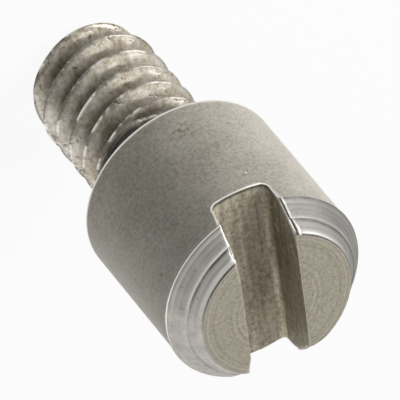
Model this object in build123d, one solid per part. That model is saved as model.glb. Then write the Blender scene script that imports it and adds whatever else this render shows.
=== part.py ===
# Hinge pin: a slotted barrel with a threaded stud, turned in one piece.
# Millimetres. The pin's axis is Z, the slotted face looks up (+Z) and the slot runs along X.
# The origin is the centre of the shoulder face, where the barrel seats on the threaded plate.
from build123d import *
import os

# Barrel: the plain length that the hinge turns on
barrel_diameter = 9.525
head_length = 9.14
rim_break = 0.08

# Bevel around the slotted face, turned in two bands with a small step between them
bevel_width = 1.08
bevel_length = 1.40
bevel_step_inset = 0.58
bevel_step_drop = 0.64
bevel_step_width = 0.05

# Lip that the bevel's cut has thrown up at the end of the barrel
lip_height = 0.055
lip_length = 0.22

# Screwdriver slot, cut right across and a little off centre
slot_width = 2.86
slot_depth = 2.62
slot_offset = 0.13
slot_floor_radius = 0.30
slot_edge_break = 0.06

# Right-hand thread: a groove with sloped flanks between a narrow flat crest and a flat root
stud_length = 9.40
thread_major_diameter = 6.12
thread_depth = 0.75
thread_pitch = 1.27
thread_crest_width = 0.18
thread_root_width = 0.20

# Neck between the shoulder and the thread, a little smaller than the crests
neck_inset = 0.31
neck_length = 2.44
neck_corner_radius = 0.25
thread_neck_bevel = 0.15

# Bevel at the stud's free end
stud_end_bevel_width = 0.62
stud_end_bevel_length = 0.62

# The groove's middle passes this far below the neck on the slot's +X side,
# and runs out this far up the neck
groove_start = 0.89
groove_runout = 0.74

barrel_radius = barrel_diameter / 2
face_radius = barrel_radius - bevel_width
bevel_start = head_length - bevel_length
crest_radius = thread_major_diameter / 2
root_radius = crest_radius - thread_depth
neck_radius = crest_radius - neck_inset
stud_end_radius = crest_radius - stud_end_bevel_width


def turned_outline():
    """One side of the turned shape, drawn as radius against height, with its axis at zero."""
    step_radius = barrel_radius - bevel_step_inset
    step_z = head_length - bevel_step_drop
    face = make_face(
        Polyline(
            (0, -stud_length),
            (stud_end_radius, -stud_length),
            (crest_radius, -stud_length + stud_end_bevel_length),
            (crest_radius, -neck_length - thread_neck_bevel),
            (neck_radius, -neck_length),
            (neck_radius, 0),
            (barrel_radius - rim_break, 0),
            (barrel_radius, rim_break),
            (barrel_radius, bevel_start - lip_length),
            (barrel_radius + lip_height, bevel_start),
            (step_radius, step_z),
            (step_radius - bevel_step_width, step_z),
            (face_radius, head_length),
            (0, head_length),
            (0, -stud_length),
        )
    )
    neck_corner = face.vertices().sort_by_distance((neck_radius, 0, 0))[0]
    return fillet(neck_corner, neck_corner_radius)


def turned_blank():
    return revolve(Plane.XZ * turned_outline(), Axis.Z)


def driver_slot():
    """The slot's cutter: rounded floor corners, flared where it meets the slotted face."""
    half = slot_width / 2
    floor_z = head_length - slot_depth
    flare_z = head_length - slot_edge_break
    top_z = head_length + slot_edge_break
    mouth_half = half + 2 * slot_edge_break
    section = make_face(
        Polyline(
            (-half, floor_z),
            (half, floor_z),
            (half, flare_z),
            (mouth_half, top_z),
            (-mouth_half, top_z),
            (-half, flare_z),
            (-half, floor_z),
        )
    )
    section = fillet(section.vertices().sort_by(Axis.Y)[:2], slot_floor_radius)
    reach = barrel_radius + 2 * lip_height
    end_plane = Plane(origin=(-reach, slot_offset, 0), x_dir=(0, 1, 0), z_dir=(1, 0, 0))
    return extrude(end_plane * section, 2 * reach)


def groove_path():
    """A right-hand helix at the thread's root, one arc for each turn, up to the run-out."""
    first_pass = -neck_length - groove_start
    turns_below = int((stud_length + first_pass) / thread_pitch) + 2
    z = first_pass - turns_below * thread_pitch
    end_z = -neck_length + groove_runout
    arcs = []
    while z < end_z:
        rise = min(thread_pitch, end_z - z)
        arcs.append((Pos(0, 0, z) * Helix(thread_pitch, rise, root_radius)).edge())
        z += thread_pitch
    return Wire(arcs)


def thread_groove():
    """The groove's cutter: one tapered section carried along the helix."""
    root_half = thread_root_width / 2
    opening_half = (thread_pitch - thread_crest_width) / 2
    flank_slope = (opening_half - root_half) / thread_depth
    cut_depth = thread_depth + 0.1
    outer_half = root_half + cut_depth * flank_slope
    path = groove_path()
    section = make_face(
        Polyline(
            (0, -root_half),
            (cut_depth, -outer_half),
            (cut_depth, outer_half),
            (0, root_half),
            (0, -root_half),
        )
    )
    start_plane = Plane(origin=path @ 0, x_dir=(1, 0, 0), z_dir=path % 0)
    return sweep(start_plane * section, path=path, is_frenet=True)


def hinge_pin():
    return turned_blank() - driver_slot() - thread_groove()


os.makedirs("parts", exist_ok=True)
export_step(hinge_pin(), "parts/hinge_pin.step")
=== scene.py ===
"""Hinge pin: the looks. Sizes are in millimetres in the pin's own frame, and go out in metres."""
from itertools import product

import bmesh
import bpy
import numpy as np
from mathutils import Matrix, Vector


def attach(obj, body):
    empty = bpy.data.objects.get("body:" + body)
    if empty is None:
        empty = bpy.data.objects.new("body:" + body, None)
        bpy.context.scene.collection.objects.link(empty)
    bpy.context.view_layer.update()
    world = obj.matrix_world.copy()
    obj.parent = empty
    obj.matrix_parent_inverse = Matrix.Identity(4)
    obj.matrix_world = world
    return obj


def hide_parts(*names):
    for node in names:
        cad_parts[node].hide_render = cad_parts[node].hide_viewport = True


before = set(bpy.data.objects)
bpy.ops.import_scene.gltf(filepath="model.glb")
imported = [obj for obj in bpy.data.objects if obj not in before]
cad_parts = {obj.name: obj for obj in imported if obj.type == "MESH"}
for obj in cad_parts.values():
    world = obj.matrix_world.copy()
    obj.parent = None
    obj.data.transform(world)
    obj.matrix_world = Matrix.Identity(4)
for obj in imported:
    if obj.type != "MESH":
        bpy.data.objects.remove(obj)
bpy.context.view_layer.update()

MM = 0.001
X, Y, Z = range(3)

# The turned shape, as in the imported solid. Its barrel and lip are a few thousandths of a
# millimetre smaller, so that the looks stay inside the solid's box.
SOLID_R = 4.7625
BARREL_R = SOLID_R - 0.002
HEAD = 9.14
RIM = 0.08
RIM_TOP = 0.19
BEVEL_START = HEAD - 1.40
BEVEL_SLANT = 0.79
FACE_R = SOLID_R - 1.08
STEP_R = SOLID_R - 0.58
STEP_Z = HEAD - 0.64
STEP_WIDTH = 0.05
LIP = 0.052
LIP_LENGTH = 0.22
LIP_SMOOTHED = 0.02

# Screwdriver slot, with its left wall leaning in below LEAN_TOP
SLOT_HALF = 1.43
SLOT_MID = 0.13
FLOOR_Z = HEAD - 2.62
FLOOR_FILLET = 0.30
LEFT_WALL_LEAN = 0.13
LEAN_TOP = 7.72
LEAN_RISE = 0.90

# Wear of the slot's edges, as widths. Corners at its -X end and edges rolled over at its +X end
# add to the plain width, by one value on the right land and another on the left, and so does
# the top of its +X end. Each reach says where a wear starts and over what length it grows.
EDGE_WEAR = 0.11
UNEVEN_WEAR = ((0.035, 1.7), (0.02, 5.0))
HIGH_REACH = (7.0, 0.6)
CORNER_WEAR = (0.12, 0.45)
CORNER_REACH = (2.4, 0.8)
ROLLED_WEAR = (0.18, 0.08)
ROLLED_REACH = (2.9, 0.5)
TOP_WEAR = 0.14
TOP_OUT_REACH = (2.2, 0.6)
TOP_UP_REACH = (8.5, 0.4)

# How far the head is rubbed down: its rim, toward an angle from +X in degrees, and the tip of
# the right land at the slot's -X end
RUB_TURN = 215
RUB_RIM = 0.055
RUB_RIM_REACH = (3.6, 0.9)
RUB_TIP_TOP = 0.18
RUB_TIP_LIP = 0.07
RUB_TIP_DOWN = 0.10
RUB_TIP_REACH = (2.6, 1.0)

# Stud: thread, neck and the bevel at its end
STUD_END = -9.40
STUD_TOP = -1.25
CREST_R = 3.06
ROOT_R = CREST_R - 0.75
PITCH = 1.27
ROOT_HALF = 0.10
ROOT_ROUND = 0.03
OPENING_HALF = (PITCH - 0.18) / 2
NECK_R = CREST_R - 0.31
NECK_Z = -2.44
NECK_CORNER = 0.25
NECK_BEVEL = 0.15
GROOVE_Z = NECK_Z - 0.89
GROOVE_TOP = NECK_Z + 0.74
GROOVE_FADE = 0.25
END_R = CREST_R - 0.62
END_BEVEL = 0.62

# Where the stud is uneven: the angles are degrees from +X
SWELL = 0.20
SWELL_TURN = 48
SWELL_WIDTH = 35
NECK_SHIFT = 0.30
NECK_SHIFT_TURN = 80
DEEP_END_TURN = 113


# Smooth noise that is the same each time

def lattice(i, j, k, seed):
    """A value from -1 to 1 for each place with whole coordinates; the factors only scatter it."""
    spread = np.sin(i * 127.1 + j * 311.7 + k * 74.7 + seed * 53.3) * 43758.5453
    return 2 * (spread - np.floor(spread)) - 1


def noise(points, scale, seed):
    """The lattice's values, blended smoothly between its places."""
    scaled = points * scale
    base = np.floor(scaled)
    share = scaled - base
    share = share * share * (3 - 2 * share)
    total = np.zeros(scaled.shape[:-1])
    for corner in product((0, 1), repeat=3):
        weight = np.prod(np.where(corner, share, 1 - share), axis=-1)
        total += weight * lattice(*np.moveaxis(base + corner, -1, 0), seed)
    return total


def rise(value, start, length):
    """0 up to start, then evenly up to 1 over length."""
    return np.clip((value - start) / length, 0, 1)


def smooth_min(first, second, width):
    """The smaller of two values, rounded over where they are about equal."""
    share = np.clip(0.5 + 0.5 * (second - first) / width, 0, 1)
    return second + (first - second) * share - width * share * (1 - share)


# Columns: both lands and both mouths of the slot share their edges

def edge_spaced(spans, length, near):
    """Shares from 0 to 1 along an edge: fine steps at each end, even ones between."""
    ends = np.array(near) / length
    middle = np.linspace(ends[-1], 1 - ends[-1], spans - 2 * (len(near) - 1) + 1)
    return np.concatenate([ends[:-1], middle, 1 - ends[-2::-1]])


def lean(z):
    """How far the left wall leans into the slot: nothing at the top, most at the floor."""
    return LEFT_WALL_LEAN * rise(LEAN_TOP - z, 0, LEAN_RISE)


def slot_mid(z):
    return SLOT_MID - lean(z) / 2


def slot_half(z):
    return SLOT_HALF - lean(z) / 2


EDGE_SHARES = edge_spaced(96, 11.8, (0, 0.025, 0.055, 0.095, 0.15, 0.23, 0.34, 0.5))
FILLET_TURN = np.radians(np.linspace(0, 90, 7))
FILLET_STEPS = FLOOR_FILLET * (1 - np.cos(FILLET_TURN))
FLOOR_RIGHT = slot_mid(FLOOR_Z) - slot_half(FLOOR_Z)
FLOOR_LEFT = slot_mid(FLOOR_Z) + slot_half(FLOOR_Z)
FLOOR_Y = np.concatenate(
    [
        FLOOR_RIGHT + FILLET_STEPS,
        np.linspace(FLOOR_RIGHT + FLOOR_FILLET, FLOOR_LEFT - FLOOR_FILLET, 13)[1:-1],
        (FLOOR_LEFT - FILLET_STEPS)[::-1],
    ]
)


def wall_gap(y):
    """How far a point of the slot's floor lies from the nearer wall."""
    return slot_half(FLOOR_Z) - np.abs(y - slot_mid(FLOOR_Z))


def floor_height(y):
    """The slot's floor, with the rounded corners at its walls."""
    inset = FLOOR_FILLET - np.clip(wall_gap(y), 0, FLOOR_FILLET)
    return FLOOR_Z + FLOOR_FILLET - np.sqrt(np.maximum(FLOOR_FILLET**2 - inset**2, 0))


def wall_y(side, z):
    return slot_mid(z) + side * slot_half(z)


def land_angles(radius, side, z=FLOOR_Z):
    """Angles from the +X end to the -X end of a land, measured on its own side."""
    first = np.arcsin(abs(wall_y(side, z)) / radius)
    return first + EDGE_SHARES * (np.pi - 2 * first)


def ring_angles():
    """The columns' angles, once round the pin from the left land's +X end."""
    mouth = np.arcsin(FLOOR_Y / BARREL_R)
    return np.concatenate(
        [
            land_angles(BARREL_R, 1)[:-1],
            (np.pi - mouth[::-1])[:-1],
            (2 * np.pi - land_angles(BARREL_R, -1)[::-1])[:-1],
            (2 * np.pi + mouth)[:-1],
        ]
    )


ANGLES = ring_angles()


def ring_tops():
    """The height at which each column of the barrel meets the slot's floor or goes up a land."""
    land_top = np.full(len(EDGE_SHARES) - 1, FLOOR_Z + FLOOR_FILLET)
    mouth = floor_height(FLOOR_Y)
    return np.concatenate([land_top, mouth[::-1][:-1], land_top, mouth[:-1]])


def ring(radius, z):
    radius = np.broadcast_to(radius, ANGLES.shape)
    z = np.broadcast_to(z, ANGLES.shape)
    return np.stack([radius * np.cos(ANGLES), radius * np.sin(ANGLES), z], axis=-1)


# The head's profile above the slot's floor, as heights and radii

def band_rows(low, high, shares):
    """Rows at these shares of the way between two points of the profile."""
    low, high = np.array(low), np.array(high)
    return [tuple(low + share * (high - low)) for share in shares]


def barrel_rows():
    """The plain barrel beside the slot, and the lip thrown up where the bevel starts."""
    rows = [(z, BARREL_R) for z in (FLOOR_Z + FLOOR_FILLET, 6.95, 7.10, 7.28, 7.44)]
    rows.append((BEVEL_START - LIP_LENGTH, BARREL_R))
    for z, lift in ((-0.16, 0.008), (-0.10, 0.026), (-0.05, 0.044), (-0.015, LIP), (0.015, 0.040)):
        rows.append((BEVEL_START + z, BARREL_R + lift))
    return rows


def bevel_rows():
    """The two bands of the bevel, the step between them, and the rounded edge of the face."""
    inner = STEP_R - STEP_WIDTH
    outer_band = band_rows(
        (BEVEL_START, BARREL_R + LIP), (STEP_Z, STEP_R), np.linspace(0.06, 0.97, 15)
    )
    step = [
        (STEP_Z - 0.004, STEP_R + 0.004),
        (STEP_Z + 0.002, STEP_R - 0.4 * STEP_WIDTH),
        (STEP_Z + 0.006, inner),
    ]
    inner_band = band_rows((STEP_Z, inner), (HEAD, FACE_R), np.linspace(0.06, 0.90, 11))
    edge = [(HEAD - 0.035, FACE_R + 0.026), (HEAD - 0.012, FACE_R + 0.010), (HEAD, FACE_R - 0.012)]
    return outer_band + step + inner_band + edge


PROFILE_Z, PROFILE_R = np.array(barrel_rows() + bevel_rows()).T


# Wear on the head

def outer_distance(p):
    """About how far a point lies outside the head, with its lip and step smoothed away."""
    radius = np.hypot(p[..., X], p[..., Y])
    z = p[..., Z]
    slant = np.interp(z, [BEVEL_START - 0.3, BEVEL_START + 0.3], [1.0, BEVEL_SLANT])
    plain = np.interp(z, [BEVEL_START, HEAD], [BARREL_R + LIP_SMOOTHED, FACE_R])
    return np.maximum((radius - plain) * slant, z - HEAD)


def slot_distance(p):
    """How far a point lies outside the slot's hollow."""
    z = p[..., Z]
    across = np.abs(p[..., Y] - slot_mid(z)) - (slot_half(z) - FLOOR_FILLET)
    below = FLOOR_Z + FLOOR_FILLET - z
    outside = np.hypot(np.maximum(across, 0), np.maximum(below, 0))
    return outside + np.minimum(np.maximum(across, below), 0) - FLOOR_FILLET


def gradient(distance, p):
    step = 1e-4
    parts = []
    for axis in (X, Y, Z):
        shift = np.zeros(3)
        shift[axis] = step
        parts.append((distance(p + shift) - distance(p - shift)) / (2 * step))
    return np.stack(parts, axis=-1)


def edge_break(p):
    """How wide the slot's edges are worn round, and how much of that the -X corners add."""
    x, z = p[..., X], p[..., Z]
    right = p[..., Y] < SLOT_MID
    high = rise(z, *HIGH_REACH)
    corner = rise(-x, *CORNER_REACH) * high * np.where(right, *CORNER_WEAR)
    rolled = rise(x, *ROLLED_REACH) * high * np.where(right, *ROLLED_WEAR)
    top = rise(x, *TOP_OUT_REACH) * rise(z, *TOP_UP_REACH)
    plain = EDGE_WEAR
    for seed, (depth, scale) in enumerate(UNEVEN_WEAR, 3):
        plain = plain + depth * noise(p, scale, seed)
    plain = plain * np.interp(z, [8.8, 9.1], [1.0, 0.5])
    return plain + corner + rolled + TOP_WEAR * top, corner


def wear_slot_edges(p):
    """Rounds the edges between the turned shape and the slot, and says how bright they wear."""
    outside, inside = outer_distance(p), -slot_distance(p)
    width, corner = edge_break(p)
    near = np.clip(1 - np.abs(outside - inside) / width, 0, 1)
    weight = np.where(outside > inside, 1 - near / 2, near / 2)[..., None]
    out = weight * gradient(outer_distance, p) - (1 - weight) * gradient(slot_distance, p)
    size = np.maximum((out**2).sum(axis=-1), 0.25)
    moved = p - out * (near**2 * width / 4 / size)[..., None]
    return moved, near / (1 + 12 * corner)


def rub_down(p):
    """Rubs down the rim around the slot's -X end, and the two corners of the right land's tip."""
    x, y, z = np.moveaxis(p, -1, 0)
    radius = np.hypot(x, y)
    facing = np.clip(np.cos(np.arctan2(y, x) - np.radians(RUB_TURN)), 0, 1) ** 2
    rim = rise(z, *HIGH_REACH) * rise(radius, *RUB_RIM_REACH)
    shrink = 1 - RUB_RIM * facing * rim / np.maximum(radius, 1)
    tip = rise(-x, *RUB_TIP_REACH) * rise(y, -2.2, 0.9) * rise(-y, -0.2, 0.5)
    high = rise(z, BEVEL_START, HEAD - BEVEL_START)
    lip = np.exp(-(((z - BEVEL_START) / 0.15) ** 2))
    inward = tip * (RUB_TIP_TOP * high**4 + RUB_TIP_LIP * lip)
    down = tip * RUB_TIP_DOWN * high**3
    return np.stack([x * shrink + inward, y * shrink, z - down], axis=-1)


# The stud's surface

def toward(angle, turn):
    """1 at an angle given in degrees, down to 0 a quarter turn away."""
    return np.clip(np.cos(angle - np.radians(turn)), 0, 1)


def end_shape(angle):
    """The end bevel's inner radius and length: shallow on the +X side, deep on the left."""
    shallow = toward(angle, 0) ** 2
    deep = toward(angle, DEEP_END_TURN) ** 2
    return END_R + 0.18 * shallow - 0.19 * deep, END_BEVEL - 0.12 * shallow + 0.38 * deep


def neck_start(angle):
    """The height at which the neck starts, which is greater on the left side."""
    return NECK_Z + NECK_SHIFT * toward(angle, NECK_SHIFT_TURN)


def blank_radius(angle, z):
    """The stud before its thread is cut."""
    end_radius, bevel = end_shape(angle)
    end = rise(z, STUD_END, bevel)
    neck = rise(z, neck_start(angle) - NECK_BEVEL, NECK_BEVEL)
    bevelled = end_radius + end * (CREST_R - end_radius)
    return np.where(end < 1, bevelled, CREST_R + neck * (NECK_R - CREST_R))


# How softly the thread turns over from the groove, against the height above the groove's
# middle: the side toward the head is rubbed round, and the far edge of each crest stays sharp
SOFT_OFF = [-0.635, -0.50, 0.0, 0.30, 0.56, 0.635]
SOFT_WIDTH = [0.20, 0.45, 0.45, 0.08, 0.08, 0.20]


def groove_middle(angle):
    """The groove's height, which climbs evenly but for a slight swell on one side."""
    away = np.mod(angle - np.radians(SWELL_TURN) + np.pi, 2 * np.pi) - np.pi
    swell = SWELL * np.exp(-((away / np.radians(SWELL_WIDTH)) ** 2))
    return GROOVE_Z + PITCH * angle / (2 * np.pi) + swell


def groove_offset(angle, z):
    """Height above the middle of the nearest pass of the groove, and that pass's height."""
    middle = groove_middle(angle)
    centre = middle + np.round((z - middle) / PITCH) * PITCH
    return z - centre, centre


def stud_radius(angle, z):
    off, centre = groove_offset(angle, z)
    slope = (OPENING_HALF - ROOT_HALF) / (CREST_R - ROOT_R)
    depth = np.maximum(np.abs(off) - ROOT_HALF, 0) / slope
    fade = rise(centre, GROOVE_TOP - GROOVE_FADE, GROOVE_FADE)
    groove = ROOT_R + np.hypot(depth, ROOT_ROUND) - ROOT_ROUND + fade * (CREST_R - ROOT_R)
    return smooth_min(blank_radius(angle, z), groove, np.interp(off, SOFT_OFF, SOFT_WIDTH))


# The thread's rows in one pitch, as heights above the groove's middle
GROOVE_STEPS = (
    -0.635, -0.59, -0.54, -0.48, -0.42, -0.35, -0.27, -0.20, -0.14, -0.10, -0.05, 0.0,
    0.05, 0.10, 0.14, 0.20, 0.28, 0.36, 0.43, 0.48, 0.52, 0.55, 0.59,
)


def stud_rows():
    """Rows that follow the thread, pressed against the stud's end and the neck."""
    rows = [np.full_like(ANGLES, STUD_END)]
    for turn in range(-7, 4):
        for step in GROOVE_STEPS:
            z = groove_middle(ANGLES) + turn * PITCH + step
            rows.append(np.clip(z, STUD_END, STUD_TOP))
    rows.append(np.full_like(ANGLES, STUD_TOP))
    return np.array(rows)


# The skin: grids of points that share their edges

class Skin:
    def __init__(self):
        self.points = []
        self.faces = []
        self.finish = []
        self.wear = []

    def grid(self, points, finish, wear=None, closed=False, climb=0):
        """Adds a grid; a closed one joins its last column to its first, climb rows further on."""
        rows, columns = points.shape[:2]
        start = sum(len(p) for p in self.points)
        self.points.append(points.reshape(-1, 3))
        wear = np.zeros((rows, columns)) if wear is None else wear
        self.wear.append(wear.reshape(-1))
        for i in range(rows - 1):
            low, high = start + i * columns, start + (i + 1) * columns
            for j in range(columns if closed else columns - 1):
                if j + 1 < columns:
                    across = (low + j + 1, high + j + 1)
                elif i == 0:
                    across = (start, start + min(1 + climb, rows - 1) * columns)
                else:
                    across = tuple(start + min(n + climb, rows - 1) * columns for n in (i, i + 1))
                corners = (low + j, across[0], across[1], high + j)
                if len(set(corners)) == 4:
                    self.faces.append(corners)
                    self.finish.append(finish)


BARREL, BEVEL, FACE, WALL, FLOOR, THREAD, NECK = range(7)

# The bright line on each crest, as its height above the groove's middle and half its width
CREST_OFF = 0.62
CREST_HALF = 0.07

# How bright the slot's edges are worn on a land's part of the barrel, and on the bevel where they
# aren't rolled over. Rolled edges go up to 1, and bevel_steel makes them bright beside a dark cut.
LAND_BRIGHT = 0.7
BEVEL_BRIGHT = 0.42


def stud_skin(skin):
    z = stud_rows()
    radius = stud_radius(ANGLES[None, :], z)
    points = np.stack([radius * np.cos(ANGLES), radius * np.sin(ANGLES), z], axis=-1)
    lift = noise(points, 2.3, 11) * 0.012 + noise(points, 6.0, 12) * 0.005
    keep = rise(radius, ROOT_R, 0.3) * rise(z, STUD_END, 0.1) * rise(STUD_TOP - z, 0, 0.1)
    worn = radius - np.abs(lift) * keep
    points[..., X] = worn * np.cos(ANGLES)
    points[..., Y] = worn * np.sin(ANGLES)
    off = groove_offset(ANGLES[None, :], z)[0]
    crest = np.clip(1.4 - np.abs(np.mod(off, PITCH) - CREST_OFF) / CREST_HALF, 0, 1)
    skin.grid(points, THREAD, crest, closed=True, climb=len(GROOVE_STEPS))
    end_radius = stud_radius(ANGLES, np.full_like(ANGLES, STUD_END))
    end = [ring(end_radius * share, STUD_END) for share in (1, 0.97, 0.8, 0.6, 0.4, 0.2, 0.02)]
    skin.grid(np.array(end), THREAD, closed=True)


def neck_skin(skin):
    """The neck, the rounded corner above it, the shoulder and the barrel's rim."""
    rows = [ring(NECK_R, z) for z in (STUD_TOP, -1.0, -0.7, -0.4, -NECK_CORNER)]
    for turn in np.radians((15, 30, 45, 60, 75, 90)):
        radius = NECK_R + NECK_CORNER * (1 - np.cos(turn))
        rows.append(ring(radius, NECK_CORNER * (np.sin(turn) - 1)))
    rim_start = BARREL_R - RIM
    rows += [ring(radius, 0.0) for radius in (3.3, 3.7, 4.1, 4.4, 4.6, rim_start - 0.03)]
    skin.grid(np.array(rows), NECK, closed=True)
    rim = [(rim_start - 0.03, 0.0), (rim_start - 0.008, 0.003), (rim_start + 0.02, 0.016)]
    rim += [(BARREL_R - 0.035, 0.036), (BARREL_R - 0.012, 0.066), (BARREL_R - 0.002, 0.1)]
    rim += [(BARREL_R, 0.15), (BARREL_R, RIM_TOP)]
    rows = np.array([ring(radius, z) for radius, z in rim])
    wear = np.ones(rows.shape[:2])
    wear[0] = wear[-1] = 0
    skin.grid(rows, BARREL, wear, closed=True)


def barrel_skin(skin):
    low_end = FLOOR_Z - 0.40
    rows = [ring(BARREL_R, z) for z in np.linspace(RIM_TOP, low_end, 26)]
    skin.grid(np.array(rows), BARREL, closed=True)
    tops = ring_tops()
    shares = (0, 0.25, 0.45, 0.62, 0.75, 0.85, 0.92, 0.97, 1)
    rows = [ring(BARREL_R, low_end + share * (tops - low_end)) for share in shares]
    points, near = wear_slot_edges(np.array(rows))
    skin.grid(points, BARREL, near, closed=True)


# Rows of a land's face, as shares of the way from its arc to the slot's edge
FACE_SHARES = (
    0, 0.03, 0.08, 0.16, 0.26, 0.38, 0.50, 0.62, 0.73, 0.82, 0.89, 0.94, 0.97, 0.99, 1,
)


def land_skin(skin, side):
    """One land: its part of the barrel and the bevel, its wall of the slot, and its face."""
    outer = np.empty((len(PROFILE_Z), len(EDGE_SHARES), 3))
    for row, z, radius in zip(outer, PROFILE_Z, PROFILE_R):
        turn = land_angles(radius, side, z)
        row[:, X] = radius * np.cos(turn)
        row[:, Y] = side * radius * np.sin(turn)
        row[:, Z] = z
    points, near = wear_slot_edges(outer)
    points = rub_down(points)
    lip_row = next(i for i, z in enumerate(PROFILE_Z) if z > BEVEL_START)
    skin.grid(points[: lip_row + 1], BARREL, LAND_BRIGHT * near[: lip_row + 1])
    rolled = rise(outer[..., X], 2.6, 0.5) if side < 0 else 0.0
    bevel_wear = near * (BEVEL_BRIGHT + (1 - BEVEL_BRIGHT) * rolled)
    skin.grid(points[lip_row:], BEVEL, bevel_wear[lip_row:])

    wall = np.empty_like(outer)
    y = wall_y(side, PROFILE_Z)
    half_chords = np.sqrt(PROFILE_R**2 - y**2)
    wall[..., X] = half_chords[:, None] * (1 - 2 * EDGE_SHARES)
    wall[..., Y] = y[:, None]
    wall[..., Z] = PROFILE_Z[:, None]
    points, near = wear_slot_edges(wall)
    brightness = np.interp(PROFILE_Z, [8.9, 9.1], [1.0, 0.15])
    skin.grid(rub_down(points), WALL, near * brightness[:, None])

    arc, chord = outer[-1], wall[-1]
    face = np.array([arc + share * (chord - arc) for share in FACE_SHARES])
    points, near = wear_slot_edges(face)
    skin.grid(rub_down(points), FACE, near)


def floor_skin(skin):
    half_chords = np.sqrt(BARREL_R**2 - FLOOR_Y**2)
    along = half_chords[:, None] * (1 - 2 * EDGE_SHARES)
    y = np.repeat(FLOOR_Y[:, None], len(EDGE_SHARES), axis=1)
    points, near = wear_slot_edges(np.stack([along, y, floor_height(y)], axis=-1))
    rough = noise(points * np.array([0.5, 3.0, 1.0]), 1.0, 21) * 0.012
    inside = rise(wall_gap(y), 0, 0.3) * (1 - near)
    points[..., Z] += rough * inside * rise(4.5 - np.abs(along), 0, 0.3)
    skin.grid(points, FLOOR, np.where(along > 0, 0.0, near))


# In metres: points this close become one, and edges this short are taken out
WELD = 2e-7
TINY = 1e-8


def build_pin():
    """The whole skin as one mesh, with its seams welded."""
    skin = Skin()
    stud_skin(skin)
    neck_skin(skin)
    barrel_skin(skin)
    land_skin(skin, 1)
    land_skin(skin, -1)
    floor_skin(skin)
    points = np.concatenate(skin.points) * MM
    wear = np.concatenate(skin.wear)
    mesh = bpy.data.meshes.new("pin_body")
    mesh.from_pydata([tuple(p) for p in points], [], skin.faces)
    mesh.polygons.foreach_set("material_index", skin.finish)
    layer = mesh.attributes.new("wear", "FLOAT", "POINT")
    layer.data.foreach_set("value", wear)
    work = bmesh.new()
    work.from_mesh(mesh)
    bmesh.ops.remove_doubles(work, verts=work.verts, dist=WELD)
    bmesh.ops.dissolve_degenerate(work, edges=work.edges, dist=TINY)
    bmesh.ops.recalc_face_normals(work, faces=work.faces)
    work.to_mesh(mesh)
    work.free()
    mesh.shade_smooth()
    piece = bpy.data.objects.new("pin_body", mesh)
    bpy.context.collection.objects.link(piece)
    return piece


# Materials

WHITE = (1.0, 1.0, 1.0)

# Bare worn steel
EDGE_STEEL = (0.70, 0.675, 0.63)
EDGE_ROUGHNESS = 0.55

# Places of two marks on the barrel, and colours of the marks
STAIN = (4.75, 0.22, 1.66)
NICK = (4.68, -0.88, 5.54)
RUST = (0.13, 0.09, 0.055)
NICK_WHITE = (1.0, 0.98, 0.95)
WARM = (0.40, 0.33, 0.25)
FLECK = (0.12, 0.10, 0.08)
SPECK = (0.22, 0.21, 0.18)
CUT = (0.10, 0.093, 0.08)
# Painted shadow along the slot's +X mouth
PAINTED_BRINK_SHADOW = (0.035, 0.028, 0.018)
PIT = (0.10, 0.082, 0.052)
# Painted shade where the neck starts, and near-black painted shade in the gap under the shoulder
PAINTED_NECK_SHADE = (0.06, 0.052, 0.04)
PAINTED_GAP_SHADE = (0.015, 0.013, 0.010)


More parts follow.
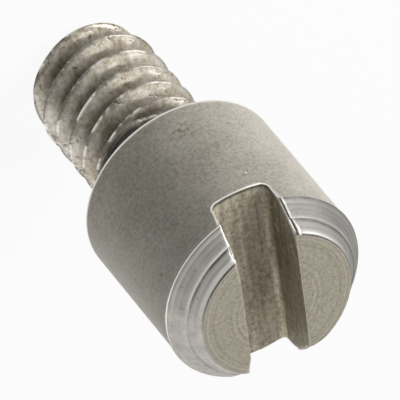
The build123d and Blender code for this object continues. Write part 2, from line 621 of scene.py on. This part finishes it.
class Nodes:
    """A short way to write the node tree of a material or a world."""

    def __init__(self, owner, output="ShaderNodeOutputMaterial"):
        owner.use_nodes = True
        self.owner = owner
        self.tree = owner.node_tree
        self.tree.nodes.clear()
        self.output = self.add(output)

    def add(self, kind, inputs=None, **settings):
        """Adds a node; an input is a value, a colour of three numbers or another's output."""
        node = self.tree.nodes.new(kind)
        for key, value in settings.items():
            setattr(node, key, value)
        for key, value in (inputs or {}).items():
            socket = node.inputs[key]
            if isinstance(value, bpy.types.NodeSocket):
                self.tree.links.new(value, socket)
            elif socket.type == "RGBA":
                socket.default_value = (*value, 1.0)
            else:
                socket.default_value = value
        return node

    def math(self, operation, *values):
        inputs = dict(enumerate(values))
        return self.add("ShaderNodeMath", inputs, operation=operation).outputs[0]

    def times(self, *factors):
        """The product of two or more values."""
        total = factors[0]
        for factor in factors[1:]:
            total = self.math("MULTIPLY", total, factor)
        return total

    def weigh(self, first, second, share):
        """The mean of two values, with this share of the first."""
        rest = self.times(second, self.math("SUBTRACT", 1.0, share))
        return self.math("MULTIPLY_ADD", first, share, rest)

    def spread(self, value, low, high, to_low=0.0, to_high=1.0):
        """Carries the range from low to high over to another range, and stops at its ends."""
        ranges = {"From Min": low, "From Max": high, "To Min": to_low, "To Max": to_high}
        return self.add("ShaderNodeMapRange", {"Value": value, **ranges}).outputs[0]

    def place(self, stretch=(1, 1, 1)):
        """Object coordinates in millimetres, stretched along each axis."""
        where = self.add("ShaderNodeTexCoord").outputs["Object"]
        scale = [factor / MM for factor in stretch]
        return self.add("ShaderNodeMapping", {"Vector": where, "Scale": scale}).outputs[0]

    def along(self, axis):
        """Distance along one of the pin's axes in millimetres."""
        return self.add("ShaderNodeSeparateXYZ", {"Vector": self.place()}).outputs[axis]

    def gap(self, axis, level):
        """Distance to either side of a level along one of the pin's axes, in millimetres."""
        return self.math("ABSOLUTE", self.math("SUBTRACT", self.along(axis), level))

    def radius(self):
        """Distance from the pin's axis in millimetres."""
        x, y = self.along(X), self.along(Y)
        return self.math("SQRT", self.math("ADD", self.times(x, x), self.times(y, y)))

    def spot(self, centre, inner, outer):
        """1 within inner millimetres of a point, fading to 0 at outer millimetres."""
        points = {0: self.place(), 1: centre}
        away = self.add("ShaderNodeVectorMath", points, operation="DISTANCE").outputs["Value"]
        return self.spread(away, outer, inner)

    def wear(self):
        return self.add("ShaderNodeAttribute", attribute_name="wear").outputs["Fac"]

    def noise(self, scale, detail=2.0, rough=0.5, stretch=(1, 1, 1)):
        inputs = {"Vector": self.place(stretch), "Scale": scale}
        inputs.update({"Detail": detail, "Roughness": rough})
        return self.add("ShaderNodeTexNoise", inputs).outputs["Fac"]

    def rings(self, path, scale, detail):
        """Noise that changes along a path only, such as the radius."""
        inputs = {"W": path, "Scale": scale, "Detail": detail}
        return self.add("ShaderNodeTexNoise", inputs, noise_dimensions="1D").outputs["Fac"]

    def ramp(self, value, stops):
        """Colours at these values, blended between them."""
        node = self.add("ShaderNodeValToRGB", {"Fac": value})
        elements = node.color_ramp.elements
        while len(elements) < len(stops):
            elements.new(0.5)
        for element, (position, colour) in zip(elements, stops):
            element.position = position
            element.color = (*colour, 1.0)
        return node.outputs[0]

    def greys(self, value, stops):
        """Grey levels at these values, blended between them."""
        return self.ramp(value, [(position, (level,) * 3) for position, level in stops])

    def mix(self, share, first, second, blend="MIX"):
        inputs = {0: share, 6: first, 7: second}
        node = self.add("ShaderNodeMix", inputs, data_type="RGBA", blend_type=blend)
        return node.outputs[2]

    def shade(self, colour, factor):
        """A colour times a value."""
        return self.mix(1.0, colour, factor, blend="MULTIPLY")

    def mix_shaders(self, share, first, second):
        return self.add("ShaderNodeMixShader", {0: share, 1: first, 2: second}).outputs[0]

    def show(self, shader):
        """Gives the tree's output this shader, and the tree's owner to the caller."""
        self.tree.links.new(shader, self.output.inputs["Surface"])
        return self.owner

    def gloss(self, colour, roughness, metallic, normal):
        inputs = {"Base Color": colour, "Roughness": roughness}
        inputs.update({"Metallic": metallic, "Normal": normal})
        return self.add("ShaderNodeBsdfPrincipled", inputs).outputs[0]

    def steel(self, colour, roughness, relief, worn, bump, depth, metallic):
        """Satin steel with a relief of depth millimetres, bare and bright where it is worn."""
        inputs = {"Height": relief, "Strength": bump, "Distance": depth * MM}
        normal = self.add("ShaderNodeBump", inputs).outputs[0]
        satin = self.gloss(colour, roughness, metallic, normal)
        bare = self.gloss(EDGE_STEEL, EDGE_ROUGHNESS, 1.0, normal)
        return self.show(self.mix_shaders(worn, satin, bare))


def new_nodes(name):
    return Nodes(bpy.data.materials.new(name))


def barrel_steel():
    nodes = new_nodes("satin_barrel")
    fine = nodes.noise(6.5, 4.0, 0.75)
    grain = nodes.weigh(fine, nodes.noise(0.45, 3.0, 0.6), 0.7)
    dark, light = (0.238, 0.220, 0.174), (0.472, 0.446, 0.386)
    colour = nodes.ramp(grain, [(0.37, dark), (0.63, light)])
    warm = nodes.spread(nodes.noise(2.4, 3.0, 0.6), 0.52, 0.68, 0.0, 0.35)
    colour = nodes.mix(warm, colour, WARM)
    flecks = nodes.spread(nodes.noise(3.4), 0.72, 0.78, 0.0, 0.7)
    colour = nodes.mix(flecks, colour, FLECK)
    scattered = nodes.spread(nodes.noise(4.6), 0.46, 0.60)
    rust = nodes.times(nodes.spot(STAIN, 0.10, 0.85), scattered, 0.80)
    colour = nodes.mix(rust, colour, RUST)
    colour = nodes.mix(nodes.spot(NICK, 0.025, 0.05), colour, NICK_WHITE)
    rough = nodes.spread(grain, 0.3, 0.7, 0.39, 0.53)
    worn = nodes.spread(nodes.wear(), 0.02, 0.50)
    return nodes.steel(colour, rough, fine, worn, bump=0.35, depth=0.02, metallic=0.08)


# Turned lines on the bevel: grey levels at radii, which BEVEL_LINES_OUT shifts outward
BEVEL_LINES = [
    (3.66, 0.05), (3.715, 0.10), (3.75, 0.95), (3.80, 0.80), (3.88, 0.50), (3.96, 0.62),
    (4.04, 0.45), (4.09, 0.10), (4.13, 0.12), (4.16, 1.00), (4.22, 0.75), (4.30, 0.42),
    (4.38, 0.55), (4.43, 0.34), (4.50, 0.58), (4.56, 0.36), (4.64, 0.60), (4.72, 0.50),
    (4.765, 0.30), (4.79, 0.02), (4.83, 0.02),
]
BEVEL_LINES_OUT = 0.025


def bevel_lines(nodes, path):
    """The grey level of the turned lines at each radius."""
    inner, outer = BEVEL_LINES[0][0], BEVEL_LINES[-1][0]
    share = nodes.spread(path, inner + BEVEL_LINES_OUT, outer + BEVEL_LINES_OUT)
    stops = [((radius - inner) / (outer - inner), level) for radius, level in BEVEL_LINES]
    return nodes.greys(share, stops)


def bevel_colour(nodes, level, fine, fade):
    """Plain steel where the lines fade, lined and streaked steel where they don't, with painted
    light and shade across the bevel.
    """
    dark, light = (0.46, 0.435, 0.395), (0.66, 0.63, 0.58)
    plain = nodes.ramp(nodes.noise(1.8, 4.0, 0.65), [(0.35, dark), (0.65, light)])
    dark, middle, light = (0.04, 0.038, 0.036), (0.48, 0.46, 0.425), (1.0, 0.97, 0.92)
    lined = nodes.ramp(level, [(0.0, dark), (0.5, middle), (1.0, light)])
    colour = nodes.mix(fade, plain, lined)
    streaked = nodes.shade(colour, nodes.spread(fine, 0.35, 0.65, 0.80, 1.15))
    colour = nodes.mix(nodes.spread(fade, 0.0, 1.0, 0.25, 1.0), colour, streaked)
    specks = nodes.spread(nodes.noise(4.2), 0.66, 0.74, 0.0, 0.5)
    colour = nodes.mix(specks, colour, SPECK)
    # Painted light and shade: the bevel darker toward -Y and lighter toward +Y, and a little
    # darker toward -X.
    left = nodes.spread(nodes.along(Y), -3.6, 2.4, 0.30, 1.28)
    front = nodes.spread(nodes.along(X), -2.0, 1.6, 0.90, 1.05)
    return nodes.shade(colour, nodes.times(left, front))


def bevel_steel():
    nodes = new_nodes("turned_bevel")
    path = nodes.math("MULTIPLY_ADD", nodes.noise(0.9), 0.05, nodes.radius())
    level = bevel_lines(nodes, path)
    fine = nodes.rings(path, 11.0, 2.0)
    patches = nodes.spread(nodes.noise(0.7), 0.36, 0.58, 0.45, 1.0)
    fade = nodes.times(patches, nodes.spread(nodes.along(X), 0.0, 2.8, 0.10, 1.0))
    colour = bevel_colour(nodes, level, fine, fade)
    wear = nodes.wear()
    cut = nodes.greys(wear, [(0.46, 0), (0.55, 1), (0.82, 1), (0.90, 0)])
    colour = nodes.mix(cut, colour, CUT)
    bright = [(0.12, 0), (0.28, 1), (0.42, 1), (0.50, 0), (0.86, 0), (0.94, 1)]
    broken = nodes.spread(nodes.noise(2.8, 3.0, 0.6), 0.36, 0.60, 0.35, 0.75)
    rolled = nodes.times(nodes.greys(wear, bright), broken)
    ridges = nodes.times(nodes.spread(level, 0.78, 1.0, 0.0, 0.45), fade)
    lip = nodes.times(
        nodes.spread(nodes.radius(), 4.755, 4.785),
        nodes.spread(nodes.along(Y), 0.4, 1.6),
        nodes.spread(nodes.along(X), -1.8, 1.4),
    )
    worn = nodes.math("MAXIMUM", rolled, nodes.math("MAXIMUM", ridges, lip))
    rough = nodes.spread(fine, 0.3, 0.7, 0.62, 0.72)
    return nodes.steel(colour, rough, fine, worn, bump=0.4, depth=0.02, metallic=0.12)


def face_steel():
    nodes = new_nodes("turned_face")
    path = nodes.math("ADD", nodes.radius(), nodes.times(nodes.noise(0.8), 0.12))
    share = nodes.spread(nodes.radius(), 1.2, 3.6, 0.10, 0.45)
    tone = nodes.weigh(nodes.rings(path, 7.0, 3.0), nodes.noise(6.0, 4.0, 0.75), share)
    dark, light = (0.31, 0.278, 0.205), (0.55, 0.508, 0.415)
    colour = nodes.ramp(tone, [(0.37, dark), (0.63, light)])
    worn = nodes.times(nodes.wear(), 0.1)
    rough = nodes.spread(tone, 0.3, 0.7, 0.42, 0.56)
    return nodes.steel(colour, rough, tone, worn, bump=0.5, depth=0.02, metallic=0.3)


def slot_steel(name, dark, light):
    """Milled steel with a shaded line, a scraped line, small dings and a painted shadow along the
    mouth at +X.
    """
    nodes = new_nodes(name)
    streaks = nodes.noise(1.0, 4.0, 0.65, stretch=(0.45, 3.2, 3.2))
    tone = nodes.weigh(streaks, nodes.noise(4.0, 5.0, 0.75), 0.45)
    colour = nodes.ramp(tone, [(0.40, dark), (0.60, light)])
    shadow = nodes.spread(nodes.gap(Y, -0.15), 0.16, 0.03, 0.0, 0.45)
    shadow = nodes.times(shadow, nodes.spread(streaks, 0.35, 0.6))
    colour = nodes.mix(shadow, colour, dark)
    scrape = nodes.spread(nodes.gap(Y, -0.86), 0.13, 0.02)
    scrape = nodes.times(scrape, nodes.spread(nodes.noise(2.6, 4.0, 0.75), 0.45, 0.56), 0.75)
    colour = nodes.mix(scrape, colour, EDGE_STEEL)
    dings = nodes.spread(nodes.noise(3.4), 0.61, 0.66)
    dings = nodes.times(dings, nodes.spread(nodes.along(X), 0.2, 2.6), 0.55)
    colour = nodes.mix(dings, colour, EDGE_STEEL)
    # Painted shadow under the burr along the slot's +X mouth.
    painted_brink_shadow = nodes.spread(nodes.radius(), 4.56, 4.67)
    painted_brink_shadow = nodes.times(painted_brink_shadow, nodes.spread(nodes.along(X), 0.5, 2.0), 0.85)
    colour = nodes.mix(painted_brink_shadow, colour, PAINTED_BRINK_SHADOW)
    rough = nodes.spread(tone, 0.3, 0.7, 0.5, 0.65)
    return nodes.steel(colour, rough, tone, nodes.wear(), bump=0.8, depth=0.04, metallic=0.3)


def wall_steel():
    return slot_steel("milled_wall", (0.13, 0.105, 0.07), (0.33, 0.295, 0.215))


# The floor: the wall's milled steel in a lighter copy, painted light.
def painted_light_floor_steel():
    return slot_steel("milled_floor_painted_light", (0.28, 0.245, 0.165), (0.74, 0.675, 0.53))


def thread_steel():
    """Pitted steel with painted shade in the roots and on the crests and painted light on the
    flanks, painted shade from where the neck starts, and near-black painted shade in the gap under
    the shoulder above a broken bright line.
    """
    nodes = new_nodes("rolled_thread")
    grain = nodes.noise(4.0, 5.0, 0.75)
    tone = nodes.weigh(grain, nodes.noise(0.9, 3.0, 0.6), 0.65)
    dark, light = (0.212, 0.175, 0.108), (0.485, 0.450, 0.395)
    colour = nodes.ramp(tone, [(0.39, dark), (0.61, light)])
    pits = nodes.spread(nodes.noise(2.3), 0.65, 0.72, 0.0, 0.85)
    colour = nodes.mix(pits, colour, PIT)
    # Painted shade and highlight by radius: darker in the roots, lighter on the flanks, and darker
    # on the crests as a painted shadow line.
    painted_flank_light = nodes.spread(nodes.radius(), 2.42, 2.80, 0.80, 1.12)
    crest = nodes.spread(nodes.radius(), 2.92, 3.03, 1.0, 0.52)
    colour = nodes.shade(colour, nodes.times(painted_flank_light, crest))
    height = nodes.along(Z)
    neck = nodes.spread(nodes.radius(), 2.92, 2.82)
    # Painted shade from where the neck starts, and near-black painted shade in the gap under the
    # shoulder, above the bright line.
    painted_neck_shade = nodes.times(nodes.spread(height, -2.56, -2.46, 0.0, 0.55), neck)
    colour = nodes.mix(painted_neck_shade, colour, PAINTED_NECK_SHADE)
    painted_gap_shade = nodes.times(nodes.spread(height, -2.26, -2.16), nodes.spread(height, -1.35, -1.75))
    colour = nodes.mix(nodes.times(painted_gap_shade, neck), colour, PAINTED_GAP_SHADE)
    line = nodes.spread(nodes.gap(Z, -2.33), 0.055, 0.015, 0.0, 0.55)
    line = nodes.times(line, neck, nodes.spread(nodes.noise(1.5), 0.38, 0.55))
    # The worn line on the crests is cut back toward -Y, where the crests keep their painted shadow
    # line.
    broken = nodes.spread(nodes.noise(1.3, 3.0, 0.6), 0.46, 0.56)
    broken = nodes.times(broken, nodes.spread(nodes.along(Y), -0.4, 1.0, 0.15, 1.0))
    worn = nodes.math("MAXIMUM", nodes.times(nodes.wear(), broken), line)
    relief = nodes.math("SUBTRACT", grain, pits)
    rough = nodes.spread(tone, 0.3, 0.7, 0.17, 0.28)
    return nodes.steel(colour, rough, relief, worn, bump=0.5, depth=0.03, metallic=0.25)


def neck_steel():
    nodes = new_nodes("dull_neck")
    grain = nodes.noise(4.0, 4.0, 0.7)
    dark, light = (0.12, 0.107, 0.088), (0.27, 0.25, 0.215)
    colour = nodes.ramp(grain, [(0.32, dark), (0.68, light)])
    rough = nodes.spread(grain, 0.3, 0.7, 0.5, 0.65)
    return nodes.steel(colour, rough, grain, nodes.wear(), bump=0.3, depth=0.02, metallic=0.2)


# One finish for each of the skin's numbers, in their order
FINISHES = (
    barrel_steel, bevel_steel, face_steel, wall_steel, painted_light_floor_steel, thread_steel, neck_steel
)
pin = build_pin()
for finish in FINISHES:
    pin.data.materials.append(finish())
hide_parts("hinge_pin")
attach(pin, "root")


# Stage: floor, backdrop colour and lamps

FLOOR_REACH = 1500
FLOOR_GLOW = 0.93
SOFT_LIGHT = 0.11


def background_share(nodes):
    """1 for rays that show the background itself: from the camera, in gloss or through glass."""
    rays = nodes.add("ShaderNodeLightPath").outputs
    seen = nodes.math("MAXIMUM", rays["Is Camera Ray"], rays["Is Glossy Ray"])
    return nodes.math("MAXIMUM", seen, rays["Is Transmission Ray"])


def make_floor():
    mesh = bpy.data.meshes.new("floor")
    reach, z = FLOOR_REACH * MM, STUD_END * MM
    corners = [(-reach, -reach, z), (reach, -reach, z), (reach, reach, z), (-reach, reach, z)]
    mesh.from_pydata(corners, [], [(0, 1, 2, 3)])
    floor = bpy.data.objects.new("floor", mesh)
    bpy.context.collection.objects.link(floor)
    nodes = new_nodes("pale_floor")
    diffuse = nodes.add("ShaderNodeBsdfDiffuse", {"Color": (0.8, 0.8, 0.8)}).outputs[0]
    glow = nodes.add("ShaderNodeEmission", {"Color": WHITE, "Strength": 1.0}).outputs[0]
    share = nodes.times(background_share(nodes), FLOOR_GLOW)
    mesh.materials.append(nodes.show(nodes.mix_shaders(share, diffuse, glow)))


def make_world():
    """White behind the pin, and a soft light from all round on it."""
    world = bpy.data.worlds.new("studio")
    bpy.context.scene.world = world
    nodes = Nodes(world, "ShaderNodeOutputWorld")
    soft, white = (
        nodes.add("ShaderNodeBackground", {"Color": WHITE, "Strength": strength}).outputs[0]
        for strength in (SOFT_LIGHT, 1.0)
    )
    nodes.show(nodes.mix_shaders(background_share(nodes), soft, white))


def lamp(name, place, aim, width, height, watts):
    data = bpy.data.lights.new(name, "AREA")
    data.shape = "RECTANGLE"
    data.size = width * MM
    data.size_y = height * MM
    data.energy = watts
    light = bpy.data.objects.new(name, data)
    light.location = Vector(place) * MM
    direction = (Vector(aim) - Vector(place)).normalized()
    light.rotation_euler = direction.to_track_quat("-Z", "Y").to_euler()
    bpy.context.collection.objects.link(light)


make_floor()
make_world()
lamp("key", (50, -116, 31), (0, 0, 0), 90, 45, 0.17)
lamp("fill", (-72, 76, 34), (0, 0, 2), 105, 72, 0.049)
lamp("top", (44, -61, 105), (0, 0, 0), 32, 32, 0.040)


# Camera: the photograph's viewing angle, rolled as the pin lies in it. The picture is IMAGE_MM
# wide at AIM.

IMAGE_MM = 17.744
LENS = 1000.0
SENSOR = 36.0
AIM = Vector((-0.442, -0.567, 0.663))
RIGHT = Vector((-0.1018, -0.8800, 0.4638))
UP = Vector((0.7384, -0.3792, -0.5577))
BACK = RIGHT.cross(UP).normalized()

view_data = bpy.data.cameras.new("camera")
view_data.lens = LENS
view_data.sensor_width = SENSOR
view_data.clip_start = 0.01
view_data.clip_end = 10.0
camera = bpy.data.objects.new("camera", view_data)
stand = AIM + BACK * (IMAGE_MM * LENS / SENSOR)
facing = Matrix((RIGHT, UP, BACK)).transposed().to_4x4()
camera.matrix_world = Matrix.Translation(stand * MM) @ facing
bpy.context.collection.objects.link(camera)
bpy.context.scene.camera = camera
bpy.context.scene.view_settings.view_transform = "Standard"

bpy.context.view_layer.update()
